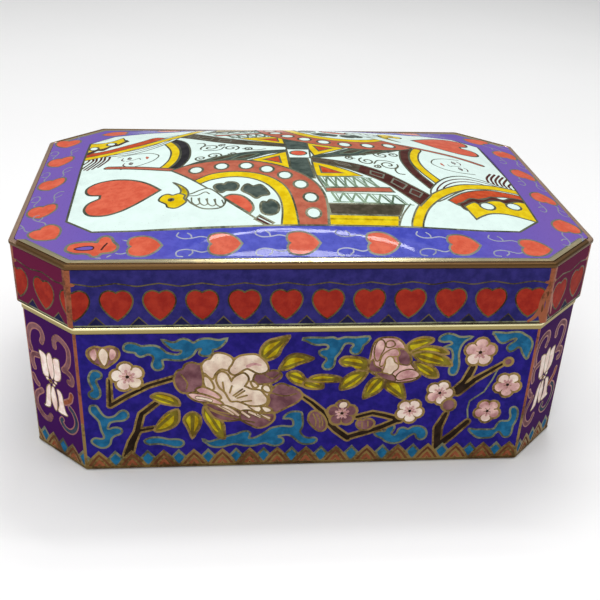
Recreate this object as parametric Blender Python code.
"""Enamel card box: a hollow eight-sided cloisonne body with a domed lift-off lid and brass rims.

Metres, +Z up. The origin is the middle of the underside, +X runs along the long side and -Y is the front.
Every outline is the lid's outline, set in by some distance, so all the pieces follow the same few sizes.
"""

import math

import bmesh
import bpy

# The lid's outline, seen from above
LID_LENGTH = 0.114
LID_WIDTH = 0.080
CORNER_CUT = 0.0115
CORNER_RADIUS = 0.001

# Heights, from the table up
BODY_HEIGHT = 0.0333
SKIRT_HEIGHT = 0.0129
DOME_RISE = 0.0078

# Body: enamelled copper sheet
BODY_SETBACK = 0.00085
BODY_WALL = 0.0018
FLOOR_THICKNESS = 0.0018

# Lid: enamelled copper sheet, with a soldered fillet inside where the skirt meets the top
LID_WALL = 0.0020
LID_TOP_THICKNESS = 0.0020
LID_FILLET = 0.0010
DOME_SQUARENESS = 14

# Brass foot under the body
FOOT_HEIGHT = 0.0012
FOOT_WIDTH = 0.0024
FOOT_PROUD = 0.0001

# Brass mouth rim: a ledge that carries the lid, and a collar that the lid slides over
LEDGE_HEIGHT = 0.00185
LEDGE_PROUD = 0.0002
COLLAR_HEIGHT = 0.0050
COLLAR_THICKNESS = 0.0008
LID_CLEARANCE = 0.0004

# Brass bead round the lid's upper edge
BEAD_HEIGHT = 0.0017
BEAD_DEPTH = 0.0008
BEAD_PROUD = 0.0002
BEAD_ROUNDING = 0.0005

# The gap left between two pieces that touch
SEAM = 0.0003

CORNER_STEPS = 3
ROUNDING_STEPS = 3
DOME_RINGS = 10
DOME_SIDE_STEPS = {"long": 12, "short": 8, "corner": 2}
PLAIN_SIDE_STEPS = dict.fromkeys(DOME_SIDE_STEPS, 1)

# Heights that follow from the sizes above
BODY_BOTTOM = FOOT_HEIGHT + SEAM
LEDGE_BOTTOM = BODY_HEIGHT - LEDGE_HEIGHT
BODY_TOP = LEDGE_BOTTOM - SEAM
LID_BOTTOM = BODY_HEIGHT + SEAM
LID_EDGE = LID_BOTTOM + SKIRT_HEIGHT
BEAD_BOTTOM = LID_EDGE - BEAD_HEIGHT
DOME_INSET = BEAD_DEPTH + SEAM


def corner_cut_at(inset):
    """The leg of the 45 degree corner on an outline set in by this much."""
    return CORNER_CUT - (2 - math.sqrt(2)) * inset


def outline(inset, steps):
    """Points (x, y) of the lid's outline set in by this much, anticlockwise, with rounded corners."""
    half_length = LID_LENGTH / 2 - inset
    half_width = LID_WIDTH / 2 - inset
    cut = corner_cut_at(inset)
    quarter = [(half_length, half_width - cut), (half_length - cut, half_width)]
    corners = quarter + [(-x, y) for x, y in reversed(quarter)]
    corners += [(-x, -y) for x, y in corners]
    sides = ["corner", "long", "corner", "short"] * 2
    trim = CORNER_RADIUS * math.tan(math.pi / 8)
    points = []
    for number, (x, y) in enumerate(corners):
        heading = math.radians(45 * number + 90)
        start_x = x - trim * math.cos(heading)
        start_y = y - trim * math.sin(heading)
        centre_x = start_x - CORNER_RADIUS * math.sin(heading)
        centre_y = start_y + CORNER_RADIUS * math.cos(heading)
        for step in range(CORNER_STEPS + 1):
            turn = heading - math.pi / 2 + math.radians(45) * step / CORNER_STEPS
            points.append((centre_x + CORNER_RADIUS * math.cos(turn), centre_y + CORNER_RADIUS * math.sin(turn)))
        end_x, end_y = points[-1]
        next_x, next_y = corners[(number + 1) % len(corners)]
        side = math.hypot(next_x - x, next_y - y)
        run = side - 2 * trim
        along_x = (next_x - x) / side
        along_y = (next_y - y) / side
        count = steps[sides[number]]
        for step in range(1, count):
            travel = run * step / count
            points.append((end_x + travel * along_x, end_y + travel * along_y))
    return points


def level_ring(inset, height, steps=PLAIN_SIDE_STEPS):
    return [(x, y, height) for x, y in outline(inset, steps)]


def dome_rise_at(x, y):
    """How far the lid's top stands above its edge: an arch both ways, brought down to the cut corners."""
    half_length = LID_LENGTH / 2 - DOME_INSET
    half_width = LID_WIDTH / 2 - DOME_INSET
    reach = half_length + half_width - corner_cut_at(DOME_INSET)
    arch = max(0, 1 - (x / half_length) ** 2) * max(0, 1 - (y / half_width) ** 2)
    corners = 1 - min(1, (abs(x) + abs(y)) / reach) ** DOME_SQUARENESS
    return DOME_RISE * arch * corners


def dome_rings(inset, base_height):
    """Rings of the dome from its edge towards the middle, and the middle point."""
    edge = outline(inset, DOME_SIDE_STEPS)
    rings = []
    for number in range(DOME_RINGS):
        share = 1 - number / DOME_RINGS
        ring = [(x * share, y * share, base_height + dome_rise_at(x * share, y * share)) for x, y in edge]
        rings.append(ring)
    return rings, (0, 0, base_height + dome_rise_at(0, 0))


def skin(mesh, lower, upper):
    """Quads from one ring of vertices to the next, facing out when the rings run anticlockwise and rise."""
    count = len(lower)
    for number in range(count):
        following = (number + 1) % count
        mesh.faces.new((lower[number], lower[following], upper[following], upper[number]))


def finish(mesh, name, colour, metallic, roughness):
    """Makes the object, with smooth rounded stretches and its own material."""
    bmesh.ops.recalc_face_normals(mesh, faces=mesh.faces)
    data = bpy.data.meshes.new(name)
    mesh.to_mesh(data)
    mesh.free()
    data.shade_smooth()
    data.set_sharp_from_angle(angle=math.radians(30))
    material = bpy.data.materials.new(name)
    material.use_nodes = True
    shader = material.node_tree.nodes["Principled BSDF"]
    shader.inputs["Base Color"].default_value = (*colour, 1)
    shader.inputs["Metallic"].default_value = metallic
    shader.inputs["Roughness"].default_value = roughness
    data.materials.append(material)
    piece = bpy.data.objects.new(name, data)
    bpy.context.scene.collection.objects.link(piece)
    return piece


def enamel_piece(mesh, name):
    return finish(mesh, name, colour=(0.05, 0.03, 0.35), metallic=0.0, roughness=0.18)


def brass_piece(mesh, name):
    return finish(mesh, name, colour=(0.62, 0.46, 0.20), metallic=1.0, roughness=0.35)


def band(name, profile):
    """A closed brass band: each (inset, height) of the profile is one ring, and the last joins the first."""
    mesh = bmesh.new()
    rings = [[mesh.verts.new(point) for point in level_ring(inset, height)] for inset, height in profile]
    for number, ring in enumerate(rings):
        skin(mesh, ring, rings[(number + 1) % len(rings)])
    return brass_piece(mesh, name)


def make_foot():
    outer = BODY_SETBACK - FOOT_PROUD
    inner = outer + FOOT_WIDTH
    return band("foot_rim", [(outer, 0), (outer, FOOT_HEIGHT), (inner, FOOT_HEIGHT), (inner, 0)])


def make_body():
    inner = BODY_SETBACK + BODY_WALL
    profile = [
        (BODY_SETBACK, BODY_BOTTOM),
        (BODY_SETBACK, BODY_TOP),
        (inner, BODY_TOP),
        (inner, BODY_BOTTOM + FLOOR_THICKNESS),
    ]
    mesh = bmesh.new()
    rings = [[mesh.verts.new(point) for point in level_ring(inset, height)] for inset, height in profile]
    for lower, upper in zip(rings, rings[1:]):
        skin(mesh, lower, upper)
    mesh.faces.new(reversed(rings[0]))
    mesh.faces.new(rings[-1])
    return enamel_piece(mesh, "body_shell")


def make_mouth_rim():
    ledge = BODY_SETBACK - LEDGE_PROUD
    collar_outer = LID_WALL + LID_CLEARANCE
    collar_inner = collar_outer + COLLAR_THICKNESS
    collar_top = BODY_HEIGHT + COLLAR_HEIGHT
    profile = [
        (ledge, LEDGE_BOTTOM),
        (ledge, BODY_HEIGHT),
        (collar_outer, BODY_HEIGHT),
        (collar_outer, collar_top),
        (collar_inner, collar_top),
        (collar_inner, LEDGE_BOTTOM),
    ]
    return band("mouth_rim", profile)


def make_lid():
    plate_underside = LID_EDGE - LID_TOP_THICKNESS
    dome, dome_top = dome_rings(DOME_INSET, LID_EDGE)
    vault, vault_top = dome_rings(LID_WALL + LID_FILLET, plate_underside)
    outside = [
        level_ring(0, LID_BOTTOM, DOME_SIDE_STEPS),
        level_ring(0, BEAD_BOTTOM - SEAM, DOME_SIDE_STEPS),
        level_ring(DOME_INSET, BEAD_BOTTOM - SEAM, DOME_SIDE_STEPS),
        *dome,
    ]
    inside = [
        level_ring(LID_WALL, LID_BOTTOM, DOME_SIDE_STEPS),
        level_ring(LID_WALL, plate_underside - LID_FILLET, DOME_SIDE_STEPS),
        *vault,
    ]
    mesh = bmesh.new()
    for rings, top in ((outside, dome_top), (inside, vault_top)):
        loops = [[mesh.verts.new(point) for point in ring] for ring in rings]
        for lower, upper in zip(loops, loops[1:]):
            skin(mesh, lower, upper)
        middle = mesh.verts.new(top)
        last = loops[-1]
        for number, vertex in enumerate(last):
            mesh.faces.new((vertex, last[(number + 1) % len(last)], middle))
        if rings is outside:
            outer_edge = loops[0]
        else:
            skin(mesh, loops[0], outer_edge)
    return enamel_piece(mesh, "lid_shell")


def make_bead():
    """The bead sits in the rebate round the lid's top, and its outer upper edge is rounded."""
    outer = -BEAD_PROUD
    rounded = []
    for step in range(ROUNDING_STEPS + 1):
        angle = math.pi / 2 * step / ROUNDING_STEPS
        inset = outer + BEAD_ROUNDING * (1 - math.cos(angle))
        height = LID_EDGE - BEAD_ROUNDING * (1 - math.sin(angle))
        rounded.append((inset, height))
    profile = [(outer, BEAD_BOTTOM), *rounded, (BEAD_DEPTH, LID_EDGE), (BEAD_DEPTH, BEAD_BOTTOM)]
    return band("lid_edge_bead", profile)


for startup_object in list(bpy.data.objects):
    bpy.data.objects.remove(startup_object)
make_foot()
make_body()
make_mouth_rim()
make_lid()
make_bead()
